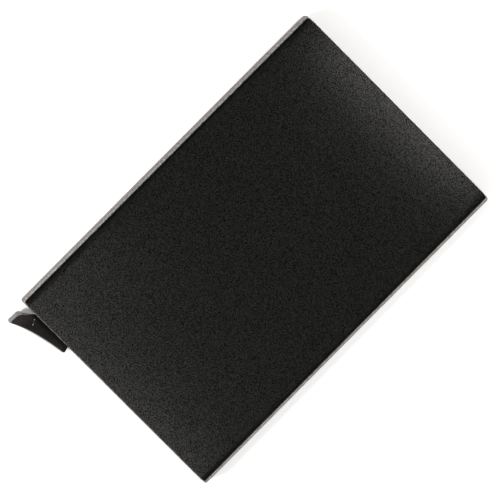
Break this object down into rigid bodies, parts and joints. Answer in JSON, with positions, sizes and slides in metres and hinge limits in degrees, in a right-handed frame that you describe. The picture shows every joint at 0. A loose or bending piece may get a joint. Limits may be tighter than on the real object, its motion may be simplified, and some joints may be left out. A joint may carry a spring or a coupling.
{
  "type": "pop-up card wallet",
  "caption": "Slim rigid card case: a rounded extruded aluminium tube with an open mouth and a sprung corner lever that fans the cards out.",
  "frame": {"origin": "middle of the case's flat back face, which the case lies on", "axes": "+X across the case from the lever's corner to the far side, +Y along the case towards the open mouth, +Z out of the front face"},
  "size_m": [0.062, 0.1012, 0.008],
  "materials": {
    "shell_metal": "fine bead-blasted, black anodised, matte",
    "lever_plastic": "black moulded nylon, fine texture",
    "base_plastic": "dark moulded plastic, satin",
    "steel": "bright drawn steel",
    "foam": "black open-cell foam",
    "pile": "short dark pile",
    "felt": "thin charcoal felt"
  },
  "bodies": {
    "case": {"outer_shell": "shell_metal", "base_carrier": "base_plastic", "base_cover": "base_plastic", "cover_screw_1": "steel", "cover_screw_2": "steel", "cover_screw_3": "steel", "cover_screw_4": "steel", "pivot_pin": "steel", "return_spring": "steel", "side_rail_left": "base_plastic", "side_rail_right": "base_plastic", "brake_foam_left": "foam", "brake_foam_right": "foam", "back_felt": "felt", "front_felt": "felt"},
    "lever": {"ejector_lever": "lever_plastic"},
    "left_brake": {"brake_pad_left": "pile"},
    "right_brake": {"brake_pad_right": "pile"}
  },
  "joints": [
    {"name": "lever_pivot", "type": "hinge", "parent": "case", "child": "lever", "pos_m": [-0.0243, -0.0433, 0.004], "axis": [0, 0, 1], "range_deg": [0, 30], "stiffness_Nm_per_rad": 0.0115, "springref_deg": -20.05, "deforming": ["return_spring"]},
    {"name": "left_brake_slide", "type": "slide", "parent": "case", "child": "left_brake", "axis": [-1, 0, 0], "range_m": [0, 0.0003], "stiffness_N_per_m": 300, "springref_m": -0.0002, "deforming": ["brake_foam_left"]},
    {"name": "right_brake_slide", "type": "slide", "parent": "case", "child": "right_brake", "axis": [1, 0, 0], "range_m": [0, 0.0003], "stiffness_N_per_m": 300, "springref_m": -0.0002, "deforming": ["brake_foam_right"]}
  ]
}
